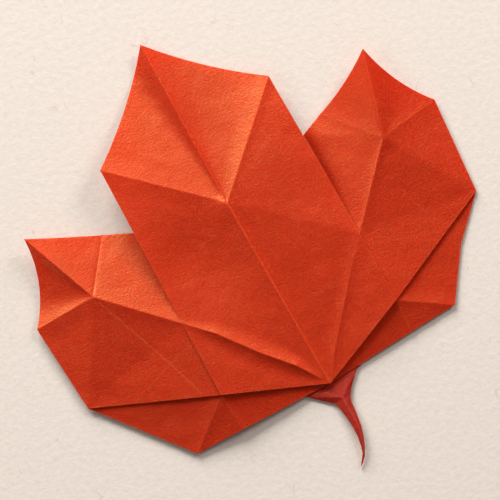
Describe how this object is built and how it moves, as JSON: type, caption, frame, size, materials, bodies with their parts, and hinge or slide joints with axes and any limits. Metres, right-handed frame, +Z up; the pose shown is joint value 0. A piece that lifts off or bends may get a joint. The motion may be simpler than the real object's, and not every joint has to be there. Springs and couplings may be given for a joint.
{
  "type": "origami maple leaf",
  "caption": "Maple leaf folded from one square of red paper, with pleated lobes and a curved stem, lying face up.",
  "frame": {"origin": "centre of the leaf's bounding box, on the surface that it lies on", "axes": "+Y from the stem to the tip of the middle lobe, +Z up out of the leaf's face, +X to the right seen from above"},
  "size_m": [0.1148, 0.1192, 0.0064],
  "materials": {
    "red_paper": "matt fibrous handmade paper dyed red-orange, with soft creases"
  },
  "bodies": {
    "root": {"folded_leaf": "red_paper"}
  },
  "joints": []
}
